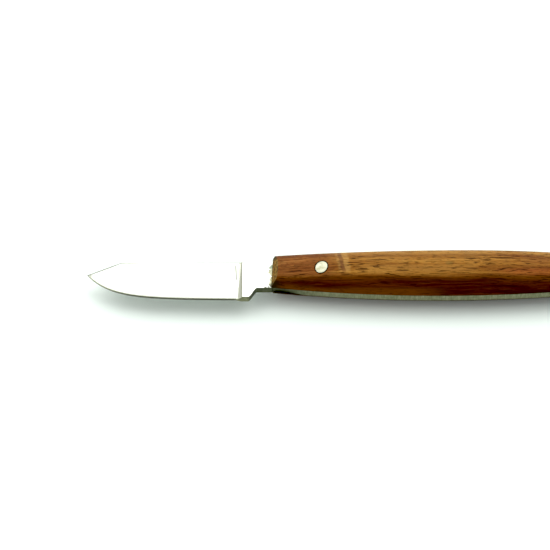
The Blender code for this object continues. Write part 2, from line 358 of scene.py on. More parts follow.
def plunge_rise(x, ground):
    """Share of the way up to full thickness, for a point ground down to this half thickness."""
    start = PLUNGE_X - PLUNGE_RUN * (PLATE / 2 - ground)
    t = min(max((x - start) / (PLUNGE_X - start), 0.0), 1.0)
    return mixed(1 - math.sqrt(1 - t * t), t, PLUNGE_FLAT)


def half_section(x):
    """(y, height above the middle) from the back to the edge, on the upper half."""
    if x >= PLUNGE_X:
        return plate_half(x)
    back_y, edge_y, back, shoulder, edge = ground_section(x)
    edge_y = mixed(edge_y, RICASSO_Y, plunge_rise(x, shoulder))
    wide = back_y - edge_y
    bevel = min(BEVEL_HIGH, wide * MOST_BEVEL)
    chamfer = min(CHAMFER, back * MOST_CHAMFER)
    slope = min(BACK_SLOPE * chamfer, wide * MOST_SLOPE)
    half = [(back_y, back - chamfer), (back_y - slope, back)]
    for i in range(1, SECTION_POINTS):
        t = i / SECTION_POINTS
        dish = HOLLOW * math.sin(math.pi * t) * min(wide / HOLLOW_WIDE, 1.0)
        half.append((back_y - slope + (edge_y + bevel - back_y + slope) * t,
                     mixed(back, shoulder, t) - dish * 4 * t * (1 - t)))
    belly_of_bevel = (edge_y + 0.5 * bevel, mixed(shoulder, edge, BEVEL_BELLY))
    half += [(edge_y + bevel, shoulder), belly_of_bevel, (edge_y, edge)]
    full = PLATE / 2
    return [(y, mixed(h, full, plunge_rise(x, h))) for y, h in half]


def plate_half(x):
    """The same number of points on the flat plate: ricasso, heel step, neck and tang."""
    full = PLATE / 2
    back_y, edge_y = plate_back(x), plate_edge(x)
    half = [(back_y, full - CHAMFER), (back_y - CHAMFER, full)]
    for i in range(1, SECTION_POINTS):
        half.append((mixed(back_y - CHAMFER, edge_y + CHAMFER, i / (SECTION_POINTS + 1)), full))
    half.append((mixed(back_y, edge_y, LAST_LOOP), full))
    half += [(edge_y + CHAMFER, full), (edge_y, full - CHAMFER)]
    return half


def plate_back(x):
    if x < FRONT_X:
        return BACK_Y
    return mixed(BACK_Y, far_side(x), smooth_step(x, FRONT_X, FRONT_X + FAR_STEP))


def plate_edge(x):
    if x < HEEL_X:
        return RICASSO_Y
    if x < NECK_X:
        t = (x - HEEL_X) / (NECK_X - HEEL_X)
        eased = (1 - HEEL_STRAIGHT) * smooth_step(t, 0.0, 1.0)
        return mixed(RICASSO_Y, NECK_Y, HEEL_STRAIGHT * t + eased)
    if x < FRONT_X:
        return NECK_Y
    return -tang_near(x)


def tang_near(x):
    """Half width of the tang on the near side, with the dip behind the neck."""
    run = min((x - FRONT_X) / DIP_RUN, 1.0)
    return near_side(x) - DIP * math.sin(math.pi * math.sqrt(run))


def crowded(start, end, count, crowd):
    """Steps that close up towards the start."""
    return [start + (end - start) * (i / count) ** crowd for i in range(count)]


def plate_stations():
    """Where the plate's sections stand: close at the point, the plunge, the heel and the dip."""
    point = TIP_X + 12.0
    ground_end = PLUNGE_X - PLUNGE_RUN * PLATE / 2
    stations = crowded(TIP_X, point, 40, 1.5)
    stations += steps(point, ground_end, 50)
    stations += [PLUNGE_X - (PLUNGE_X - ground_end) * (1 - i / 28) ** 1.6 for i in range(28)]
    stations += [PLUNGE_X - 0.004, PLUNGE_X] + steps(PLUNGE_X, HEEL_X, 4)[1:]
    stations += steps(HEEL_X, NECK_X, 24) + steps(NECK_X, FRONT_X, 6)
    return stations + handle_stations()


def handle_stations():
    """Where the sections of the tang and the bond lines stand: close at the dip and the butt."""
    stations = steps(FRONT_X, FRONT_X + DIP_RUN, 50)
    stations += steps(FRONT_X + DIP_RUN, CAP_X, 110)
    last, nearly_square = 26, math.radians(88.5)  # stops just short of a section with no width
    turn = nearly_square / last
    return stations + [CAP_X + (BUTT_X - CAP_X) * math.sin(turn * i) for i in range(last + 1)]


def make_blade_and_tang():
    rings = []
    for x in plate_stations():
        half = half_section(x)
        upper = [(x, y, MIDDLE + h) for y, h in half]
        lower = [(x, y, MIDDLE - h) for y, h in reversed(half)]
        rings.append(upper + lower)
    blade = loft("ground_blade_and_tang", rings)
    drills = pin_drills()
    for cutter in drills:
        cut(blade, cutter)
    bake(blade, 20.0)
    clear_cutters(drills)
    finish_faces(blade)
    return blade


def finish_faces(blade):
    """Gives each face the finish of its part: ground, satin flat, filed edge or honed bevel."""
    for made in (ground_steel(), satin_steel(), filed_steel(), honed_steel()):
        blade.data.materials.append(made)
    ground, satin, filed, honed = range(4)
    for face in blade.data.polygons:
        x, y = face.center.x / MM, face.center.y / MM - AXIS_Y
        if abs(face.normal.z) < FLAT_NORMAL or face.normal.y > BACK_NORMAL:
            face.material_index = filed
        elif x > PLUNGE_X - 0.001:
            face.material_index = satin
        elif y < ground_section(x)[1] + BEVEL_HIGH and x > TIP_X + 0.6:
            face.material_index = honed
        else:
            face.material_index = ground


# ---------------------------------------------------------------- wooden scales


def new_tree(name, inputs):
    """A geometry tree with named inputs. Returns the tree and its inputs as Fields."""
    tree = bpy.data.node_groups.new(name, "GeometryNodeTree")
    for label, value in inputs.items():
        socket = tree.interface.new_socket(name=label, in_out="INPUT", socket_type="NodeSocketFloat")
        socket.default_value = value
    tree.interface.new_socket(name="Geometry", in_out="OUTPUT", socket_type="NodeSocketGeometry")
    entry = tree.nodes.new("NodeGroupInput")
    return tree, {label: Field(tree, entry.outputs[label]) for label in inputs}


def add_tree(piece, tree, values):
    """Puts a geometry tree on a piece and sets the tree's inputs by their identifiers."""
    modifier = piece.modifiers.new(tree.name, "NODES")
    modifier.node_group = tree
    for item in tree.interface.items_tree:
        if item.item_type == "SOCKET" and item.in_out == "INPUT":
            modifier[item.identifier] = values[item.name]


def blank(name):
    """An empty piece for a geometry tree to fill."""
    piece = bpy.data.objects.new(name, bpy.data.meshes.new(name))
    bpy.context.scene.collection.objects.link(piece)
    return piece


def unit_grid(tree, along, around):
    """A grid and its two running shares, u along and v around, each 0 to 1."""
    grid = tree.nodes.new("GeometryNodeMeshGrid")
    grid.inputs["Size X"].default_value = 1.0
    grid.inputs["Size Y"].default_value = 1.0
    grid.inputs["Vertices X"].default_value = along
    grid.inputs["Vertices Y"].default_value = around
    place = tree.nodes.new("GeometryNodeInputPosition")
    parts = tree.nodes.new("ShaderNodeSeparateXYZ")
    tree.links.new(place.outputs[0], parts.inputs[0])
    u, v = Field(tree, parts.outputs["X"]) + 0.5, Field(tree, parts.outputs["Y"]) + 0.5
    return grid.outputs["Mesh"], u, v


def placed(tree, mesh, x, y, z):
    """Moves the grid's points to x, y, z, given in millimetres, and welds what meets."""
    point = tree.nodes.new("ShaderNodeCombineXYZ")
    for socket, value in zip(point.inputs, (x * MM, (y + AXIS_Y) * MM, z * MM)):
        tree.links.new(value.socket, socket)
    move = tree.nodes.new("GeometryNodeSetPosition")
    tree.links.new(mesh, move.inputs["Geometry"])
    tree.links.new(point.outputs[0], move.inputs["Position"])
    weld = tree.nodes.new("GeometryNodeMergeByDistance")
    weld.inputs["Distance"].default_value = 0.002 * MM
    tree.links.new(move.outputs[0], weld.inputs["Geometry"])
    return weld.outputs[0]


def close_tree(tree, geometry, material):
    """Ends a tree: real geometry, in this material."""
    real = tree.nodes.new("GeometryNodeRealizeInstances")
    paint = tree.nodes.new("GeometryNodeSetMaterial")
    paint.inputs["Material"].default_value = material
    leave = tree.nodes.new("NodeGroupOutput")
    tree.links.new(geometry, real.inputs["Geometry"])
    tree.links.new(real.outputs[0], paint.inputs["Geometry"])
    tree.links.new(paint.outputs[0], leave.inputs["Geometry"])


def scale_tree(material):
    """The domed scale: a half-oval section carried along the handle, closed by its flat seat."""
    inputs = {"Seat height": 0.0, "Side": 1.0, "Front": FRONT_X, "Butt": BUTT_X}
    tree, given = new_tree("domed scale", inputs)
    along, around = 320, 101
    dome = 0.8  # share of the section's points that lie on the dome, the rest on the seat
    stop_short, nose, end_row = 5e-5, 0.4, 0.0004
    mesh, u, v = unit_grid(tree, along, around)
    inner = highest(lowest((u * (along - 1) - 1.0) / (along - 3), 1.0), 0.0)
    run = (1.0 - cosine(inner * math.pi)) * (0.5 - stop_short)
    x = mixed(given["Front"], given["Butt"], run)
    turn = lowest(v / dome, 1.0) * math.pi
    wide = mixed(near_side(x), far_side(x), beyond(turn, math.pi / 2))
    back = highest(v - dome, 0.0) / (1.0 - dome)
    seat_y = mixed(far_side(x), near_side(x) * -1.0, back)
    y = mixed(wide * cosine(turn) * -1.0, seat_y, beyond(back, 0.0))
    on_dome = beyond(sine(turn), 1e-4) * (1.0 - beyond(back, 0.0))
    h = crown_at(x, y) * on_dome
    inside = beyond(u * (1.0 - u), end_row)  # the first and last rows close to a point
    y = y * inside
    h = mixed(crown(x) * nose, h, inside)
    z = given["Seat height"] + given["Side"] * h
    close_tree(tree, placed(tree, mesh, x, y, z), material)
    return tree


def front_wedge(seat, side):
    """The cutter that leaves a scale's front end leaning back."""
    low, high, ahead = -2.0, 8.0, -12.0
    profile = [
        (0.0, low),
        (0.0, FRONT_LIP),
        (FRONT_LEAN * (high - FRONT_LIP), high),
        (ahead, high),
        (ahead, low),
    ]
    rings = []
    for y in (-20.0, 20.0):
        rings.append([(front_x(y) + x, y, seat + side * h) for x, h in profile])
    return loft("wedge", rings)


def corner_prism(x, y):
    """Takes a front corner off what it cuts, on the side that y is on."""
    reach = 9.0
    out = math.copysign(reach, y)
    corners = [(x - reach, y - out), (x + reach, y + out), (x - reach, y + out)]
    return upright("prism", corners)


def land_slab():
    """Leaves the lower scale flat where the knife rests on it."""
    corners = [(-60.0, -20.0), (110.0, -20.0), (110.0, 20.0), (-60.0, 20.0)]
    return upright("slab", corners, CUT_LOW, 0.0)


def make_scale(name, seat, side, tree, *materials):
    """A scale in its wood, its end grain and the dark resin finish on its pin holes' walls, as
    painted shade in the gaps round the pins.
    """
    scale = blank(name)
    values = {"Seat height": seat, "Side": side, "Front": front_x(-NEAR_WIDE), "Butt": BUTT_X}
    add_tree(scale, tree, values)
    cutters = pin_drills() + [front_wedge(seat, side), corner_prism(*FAR_CORNER)]
    if side < 0:
        cutters += [corner_prism(*NEAR_CORNER), land_slab()]
    outward(scale)
    for cutter in cutters:
        cut(scale, cutter)
    bake(scale, 30.0)
    clear_cutters(cutters)
    dress(scale, *materials)
    end_wood, hole_wall_shade = 1, 2
    for face in scale.data.polygons:
        x, y = face.center.x / MM, face.center.y / MM - AXIS_Y
        from_pin = min(math.hypot(x - pin_x, y) for pin_x in PIN_X.values())
        if face.normal.x < END_NORMAL and x < FRONT_X + 5.0:
            face.material_index = end_wood
        # Painted shade: the walls of the pin holes take the dark resin finish.
        elif abs(face.normal.z) < WALL_NORMAL and from_pin < HOLE_REACH:
            face.material_index = hole_wall_shade
    return scale


def outward(piece):
    """Bakes a piece and turns its faces outwards."""
    bake(piece)
    work = bmesh.new()
    work.from_mesh(piece.data)
    bmesh.ops.remove_doubles(work, verts=work.verts, dist=0.002 * MM)
    bmesh.ops.dissolve_degenerate(work, edges=work.edges, dist=0.0005 * MM)
    bmesh.ops.recalc_face_normals(work, faces=work.faces)
    work.to_mesh(piece.data)
    work.free()


# ---------------------------------------------------------------- pins and resin


PIN_SIZES = {
    "Centre": 0.0,
    "Long": PIN_LONG,
    "Short": PIN_SHORT,
    "Slant": 0.0,
    "Proud": 0.02,
    "Rounding": 0.05,
}


def pin_tree(material):
    """A slightly oval pin through the handle, both ends ground to the surface of the scales."""
    tree, given = new_tree("flush pin", PIN_SIZES)
    mesh, u, v = unit_grid(tree, 43, 97)
    run = u * 3.0  # out over the upper end, down the side and in under the lower end
    share = lowest(lowest(run, 3.0 - run), 1.0)
    long_way = given["Long"] * share * cosine(v * (2 * math.pi))
    short_way = given["Short"] * share * sine(v * (2 * math.pi))
    slant = given["Slant"]
    x = given["Centre"] + long_way * cosine(slant) - short_way * sine(slant)
    y = long_way * sine(slant) + short_way * cosine(slant)
    crisp = 16
    high = crown_at(x, y) + given["Proud"] - given["Rounding"] * share**crisp
    under = highest(lowest(run - 1.0, 1.0), 0.0)
    z = mixed(PLATE_HIGH + SEAT + high, PLATE_LOW - SEAT - high, under)
    close_tree(tree, placed(tree, mesh, x, y, z), material)
    return tree


def make_pin(node, tree, *materials):
    """A pin whose sides, seen in the narrow gap round it, take the dark resin finish as painted
    shade.
    """
    pin = blank("flush_" + node)
    places = {"Centre": PIN_X[node], "Slant": math.radians(PIN_SLANT[node])}
    add_tree(pin, tree, {**PIN_SIZES, **places})
    outward(pin)
    pin.data.shade_smooth()
    pin.data.set_sharp_from_angle(angle=math.radians(40.0))
    dress(pin, *materials)
    # Painted shade: the pin's sides take the dark resin finish.
    for face in pin.data.polygons:
        face.material_index = int(abs(face.normal.z) < 0.6)
    return pin


def make_film(name, low, resin, ledge):
    """A bond line with a wandering edge. On a ledge it also fills the room left by the tang's dip."""
    rings = []
    quick, slow = FILM_WAVES
    for x in [front_x(BEAD_TO)] + handle_stations()[1:]:
        wander = FILM_EDGE + FILM_WANDER * math.sin(x * quick) * math.sin(x * slow + 1.0)
        near, far = wander - tang_near(x), plate_back(x) - wander
        if ledge:
            near = wander + max(-near_side(x), sum(NEAR_CORNER) - x)
        rings.append([(x, near, low), (x, far, low), (x, far, low + FILM), (x, near, low + FILM)])
    film = loft(name, rings)
    drills = pin_drills()
    for cutter in drills:
        cut(film, cutter)
    bake(film)
    clear_cutters(drills)
    film.data.materials.append(resin)
    return film


def make_bead(resin):
    """The ridge of resin in the corner between the neck and the upper scale."""
    low = PLATE_HIGH + 0.005
    random.seed(7)
    rings, count, arc = [], 90, 7
    for i in range(count + 1):
        y = BEAD_FROM + (BEAD_TO - BEAD_FROM) * i / count
        swell = BEAD_MEAN + sum(size * math.sin(turn * y + start) for size, turn, start in BEAD_WAVES)
        swell += random.uniform(-BEAD_ROUGH, BEAD_ROUGH)
        swell *= math.sqrt(max(math.sin(math.pi * (i + 1.5) / (count + 3)), 0.0))
        wide, high = BEAD_WIDE * swell, BEAD_HIGH * swell
        back_x = front_x(y) - 0.01
        ring = [(back_x, y, low)]
        for k in range(arc + 1):
            turn = math.pi / 2 * k / arc
            out, up = math.sin(turn) ** BEAD_DROOP, math.cos(turn) ** BEAD_DROOP
            ring.append((back_x - wide * out, y, low + high * up))
        rings.append(ring)
    bead = loft("resin_bead", rings)
    bake(bead, 60.0)
    bead.data.materials.append(resin)
    return bead


def crumb_tree(material):
    """Crumbs of resin and dust scattered along a line on the neck."""
    tree, given = new_tree("resin crumbs", CRUMB_SIZES)
    line = tree.nodes.new("GeometryNodeMeshLine")
    line.inputs["Count"].default_value = 26
    index = Field(tree, tree.nodes.new("GeometryNodeInputIndex").outputs[0])

    def chance(low, high, turn):
        dice = tree.nodes.new("FunctionNodeRandomValue")
        dice.data_type = "FLOAT"
        floats = [socket for socket in dice.inputs if socket.type == "VALUE"]
        floats[0].default_value, floats[1].default_value = low, high
        seed = given["Seed"] + turn
        tree.links.new(index.socket, dice.inputs["ID"])
        tree.links.new(seed.socket, dice.inputs["Seed"])
        return Field(tree, [socket for socket in dice.outputs if socket.type == "VALUE"][0])

    x = given["From X"] + given["Length"] * chance(0.0, 1.0, 0.0)
    y = given["From Y"] + given["Spread"] * chance(-1.0, 1.0, 10.0)
    size = given["Size"] * chance(0.35, 1.0, 20.0)
    point = tree.nodes.new("ShaderNodeCombineXYZ")
    height = (PLATE_HIGH + size * 0.25) * MM
    for socket, value in zip(point.inputs, (x * MM, (y + AXIS_Y) * MM, height)):
        tree.links.new(value.socket, socket)
    move = tree.nodes.new("GeometryNodeSetPosition")
    tree.links.new(line.outputs[0], move.inputs["Geometry"])
    tree.links.new(point.outputs[0], move.inputs["Position"])
    crumb = tree.nodes.new("GeometryNodeMeshIcoSphere")
    crumb.inputs["Radius"].default_value = MM
    crumb.inputs["Subdivisions"].default_value = 2
    strew = tree.nodes.new("GeometryNodeInstanceOnPoints")
    stretch = tree.nodes.new("ShaderNodeCombineXYZ")
    for socket, value in zip(stretch.inputs, (size * 1.5, size, size * 0.6)):
        tree.links.new(value.socket, socket)
    turned = tree.nodes.new("ShaderNodeCombineXYZ")
    full_turn = 6.28
    tree.links.new(chance(0.0, full_turn, 30.0).socket, turned.inputs["Z"])
    tree.links.new(move.outputs[0], strew.inputs["Points"])
    tree.links.new(crumb.outputs["Mesh"], strew.inputs["Instance"])
    tree.links.new(stretch.outputs[0], strew.inputs["Scale"])
    tree.links.new(turned.outputs[0], strew.inputs["Rotation"])
    close_tree(tree, strew.outputs[0], material)
    return tree


def make_crumbs(name, tree, material):
    crumbs = blank(name)
    add_tree(crumbs, tree, CRUMB_SIZES)
    bake(crumbs, 80.0)
    dress(crumbs, material)
    return crumbs


# ---------------------------------------------------------------- finishes


def finish(name, metallic, roughness):
    """A new material with one shader. Returns it, its tree and the shader."""
    made = bpy.data.materials.new(name)
    made.use_nodes = True
    tree = made.node_tree
    shader = tree.nodes["Principled BSDF"]
    shader.inputs["Metallic"].default_value = metallic
    shader.inputs["Roughness"].default_value = roughness
    return made, tree, shader


def place_mm(tree):
    """Object coordinates in millimetres, about the handle's middle line."""
    place = tree.nodes.new("ShaderNodeTexCoord")
    parts = tree.nodes.new("ShaderNodeSeparateXYZ")
    tree.links.new(place.outputs["Object"], parts.inputs[0])
    per_metre = 1000.0
    x, y, z = (Field(tree, parts.outputs[axis]) * per_metre for axis in "XYZ")
    return x, y - AXIS_Y, z


def noise(x, y, z, detail=3.0, rough=0.5):
    """Noise at a point whose size has been set per millimetre, about 0 to 1."""
    tree = next(value.tree for value in (x, y, z) if isinstance(value, Field))
    point = tree.nodes.new("ShaderNodeCombineXYZ")
    for socket, value in zip(point.inputs, (x, y, z)):
        if isinstance(value, Field):
            tree.links.new(value.socket, socket)
        else:
            socket.default_value = value
    texture = tree.nodes.new("ShaderNodeTexNoise")
    texture.inputs["Scale"].default_value = 1.0
    texture.inputs["Detail"].default_value = detail
    texture.inputs["Roughness"].default_value = rough
    tree.links.new(point.outputs[0], texture.inputs["Vector"])
    return Field(tree, texture.outputs["Fac"])


def between(value, low, high):
    """0 below low, 1 above high, smooth between them."""
    node = value.tree.nodes.new("ShaderNodeMapRange")
    node.interpolation_type = "SMOOTHSTEP"
    for label, limit in (("From Min", low), ("From Max", high)):
        if isinstance(limit, Field):
            link(limit, node.inputs[label])
        else:
            node.inputs[label].default_value = limit
    value.tree.links.new(value.socket, node.inputs["Value"])
    return Field(value.tree, node.outputs["Result"])


def band(value, rise_from, rise_to, fall_from, fall_to):
    """1 inside a band with soft ends, 0 on both sides of it."""
    return between(value, rise_from, rise_to) * (1.0 - between(value, fall_from, fall_to))


def oval_share(x, y, middle_x, middle_y, half_long, half_wide):
    """0 at the middle of an oval, 1 on its outline, more beyond it."""
    return ((x - middle_x) / half_long) ** 2 + ((y - middle_y) / half_wide) ** 2


def ramp(value, *stops):
    """A colour from a share, through stops of (share, colour)."""
    node = value.tree.nodes.new("ShaderNodeValToRGB")
    bar = node.color_ramp
    while len(bar.elements) < len(stops):
        bar.elements.new(1.0)
    for element, (share, colour) in zip(bar.elements, stops):
        element.position = share
        element.color = (*colour, 1.0)
    value.tree.links.new(value.socket, node.inputs["Fac"])
    return node.outputs["Color"]


def blend(share, a, b, mode="MIX"):
    """Colour a, mixed with b by a share. Either can be a socket or a plain colour."""
    node = share.tree.nodes.new("ShaderNodeMix")
    node.data_type = "RGBA"
    node.blend_type = mode
    share.tree.links.new(share.socket, node.inputs[0])
    for socket, value in ((node.inputs[6], a), (node.inputs[7], b)):
        if isinstance(value, tuple):
            socket.default_value = (*value, 1.0)
        else:
            share.tree.links.new(value, socket)
    return node.outputs[2]


def relief(shader, height, depth_mm):
    """Bump of this depth on the shader."""
    tree = height.tree
    node = tree.nodes.new("ShaderNodeBump")
    node.inputs["Strength"].default_value = 1.0
    node.inputs["Distance"].default_value = depth_mm * MM
    tree.links.new(height.socket, node.inputs["Height"])
    tree.links.new(node.outputs[0], shader.inputs["Normal"])


def link(value, socket):
    """Joins a Field or an output socket to an input socket."""
    out = value.socket if isinstance(value, Field) else value
    socket.id_data.links.new(out, socket)


SCRATCH_X = -40.65  # where a stray wheel mark crosses the blade's middle
SCRATCH_ENDS = -2.6, -1.6, 2.6, 3.6


def ground_steel():
    """The blade's faces: fine wheel lines across it, with painted shade at the plunge, along the clip
    and at the point.
    """
    made, tree, shader = finish("ground blade steel", 1.0, 0.2)
    x, y, z = place_mm(tree)
    lean = x + y * 0.12
    lines = noise(lean * 9.0, y * 0.10, z * 0.1, 3.0, 0.7)
    coarse = noise(lean * 2.2, y * 0.05, z * 0.1, 2.0)
    cloud = noise(x * 0.10, y * 0.16, z * 0.1, 3.0)
    colour = blend(between(cloud, 0.40, 0.68), (0.66, 0.665, 0.64), (0.60, 0.62, 0.56))
    # Painted shade: the plunge's ramp is darkened, most in its last half millimetre.
    ragged = (noise(y * 0.9, x * 2.5, z * 0.3, 2.0) - 0.5) * 0.7
    plunge = between(x - y * 0.04 + ragged, PLUNGE_X - 1.45, PLUNGE_X - 0.75)
    last = between(x, PLUNGE_X - 0.50, PLUNGE_X - 0.10)
    colour = blend(plunge * 0.9, colour, (0.36, 0.36, 0.30))
    colour = blend(last * 0.5, colour, (0.21, 0.21, 0.155))
    # Painted shade: a dark line along the clip and a dark point.
    clip_y = (x - TIP_X) * (BACK_Y / (CLIP_X - TIP_X))
    clip_line = (1.0 - between(clip_y - y, 0.30, 0.62)) * (1.0 - between(x, -78.5, -74.5))
    tip = 1.0 - between(x, TIP_X + 0.9, TIP_X + 1.9)
    colour = blend(highest(clip_line * 0.75, tip * 0.8), colour, (0.16, 0.16, 0.13))
    scratch = 1.0 - between(distance_from(x + y * 0.06, SCRATCH_X), 0.10, 0.30)
    scratch = scratch * band(y, *SCRATCH_ENDS)
    link(blend(scratch * 0.85, colour, (0.17, 0.17, 0.14)), shader.inputs["Base Color"])
    link(0.17 + lines * 0.10 + cloud * 0.05, shader.inputs["Roughness"])
    relief(shader, lines * 0.6 + coarse * 0.4, 0.0012)
    return made


def satin_steel():
    """Ricasso, neck and the tang's faces: lines run along the knife."""
    made, tree, shader = finish("satin flat steel", 1.0, 0.25)
    x, y, z = place_mm(tree)
    lines = noise(x * 0.2, y * 9.0, z * 2.0, 3.0, 0.7)
    stain = noise(x * 0.35, y * 0.5, z * 0.4, 4.0, 0.6)
    link(blend(between(stain, 0.52, 0.72), (0.65, 0.655, 0.63), (0.50, 0.51, 0.43)),
         shader.inputs["Base Color"])
    link(0.20 + lines * 0.12 + stain * 0.05, shader.inputs["Roughness"])
    relief(shader, lines, 0.0012)
    return made


def filed_steel():
    """The plate's narrow edges: upright file marks, olive grey, darker at the neck, with painted
    shade under the scales' overhang and towards the tip.
    """
    made, tree, shader = finish("filed edge steel", 1.0, 0.4)
    x, y, z = place_mm(tree)
    marks = noise(x * 5.0, y * 0.3, z * 0.35, 3.0, 0.65)
    wide_marks = noise(x * 1.1, y * 0.2, z * 0.5, 2.0)
    stain = noise(x * 0.25, y * 0.4, z * 1.2, 3.0)
    tone = marks * 0.5 + wide_marks * 0.3 + stain * 0.2
    colour = ramp(tone, (0.32, (0.115, 0.118, 0.062)), (0.50, (0.215, 0.220, 0.130)),
                  (0.68, (0.350, 0.352, 0.235)))
    # Painted shade: the narrow edges darken towards the point.
    to_tip = 1.0 - between(x, -76.0, -66.0)
    colour = blend(to_tip * 0.9, colour, (0.035, 0.037, 0.025))
    # Darker along the neck's edges, and painted shade on the tang's edge under the scales' overhang.
    darker_neck_and_overhang_shade = band(x, -37.8, -35.5, -29.0, -13.0)
    link(blend(darker_neck_and_overhang_shade * 0.72, colour, (0.045, 0.055, 0.028)), shader.inputs["Base Color"])
    link(0.34 + marks * 0.18, shader.inputs["Roughness"])
    relief(shader, marks * 0.7 + wide_marks * 0.3, 0.006)
    return made


def honed_steel():
    """The narrow honed bevel, with painted shade along the cutting edge itself."""
    made, tree, shader = finish("honed edge steel", 1.0, 0.16)
    x, y, z = place_mm(tree)
    lines = noise(x * 14.0, y * 0.8, z * 0.5, 2.0, 0.7)
    colour = ramp(lines, (0.3, (0.40, 0.42, 0.32)), (0.7, (0.60, 0.61, 0.52)))
    run = x - TIP_X
    fall = run.math("EXPONENT", run * (-1.0 / BELLY_LENGTH))
    from_edge = y - (fall - 1.0) * BELLY_DEPTH + run * BELLY_SLOPE
    # Painted shade along the cutting edge.
    at_edge = 1.0 - between(from_edge, 0.26, 0.50)
    link(blend(at_edge * 0.85, colour, (0.07, 0.075, 0.048)), shader.inputs["Base Color"])
    link(0.14 + lines * 0.12, shader.inputs["Roughness"])
    relief(shader, lines, 0.0008)
    return made


FIGURE = (-10.3, -9.6, -9.4, -8.9, -8.3, -7.7, -6.8, -5.8)  # where pale, grey and pale bands meet
LONG_PORES = (  # (x, y, half length, half width) of the pores that stand out
    (39.5, 3.1, 4.4, 0.34),
    (31.0, 2.8, 2.8, 0.24),
    (24.5, 3.2, 1.6, 0.22),
    (45.5, -1.2, 2.2, 0.24),
    (9.5, -1.6, 2.4, 0.26),
    (2.5, 2.4, 3.0, 0.22),
)


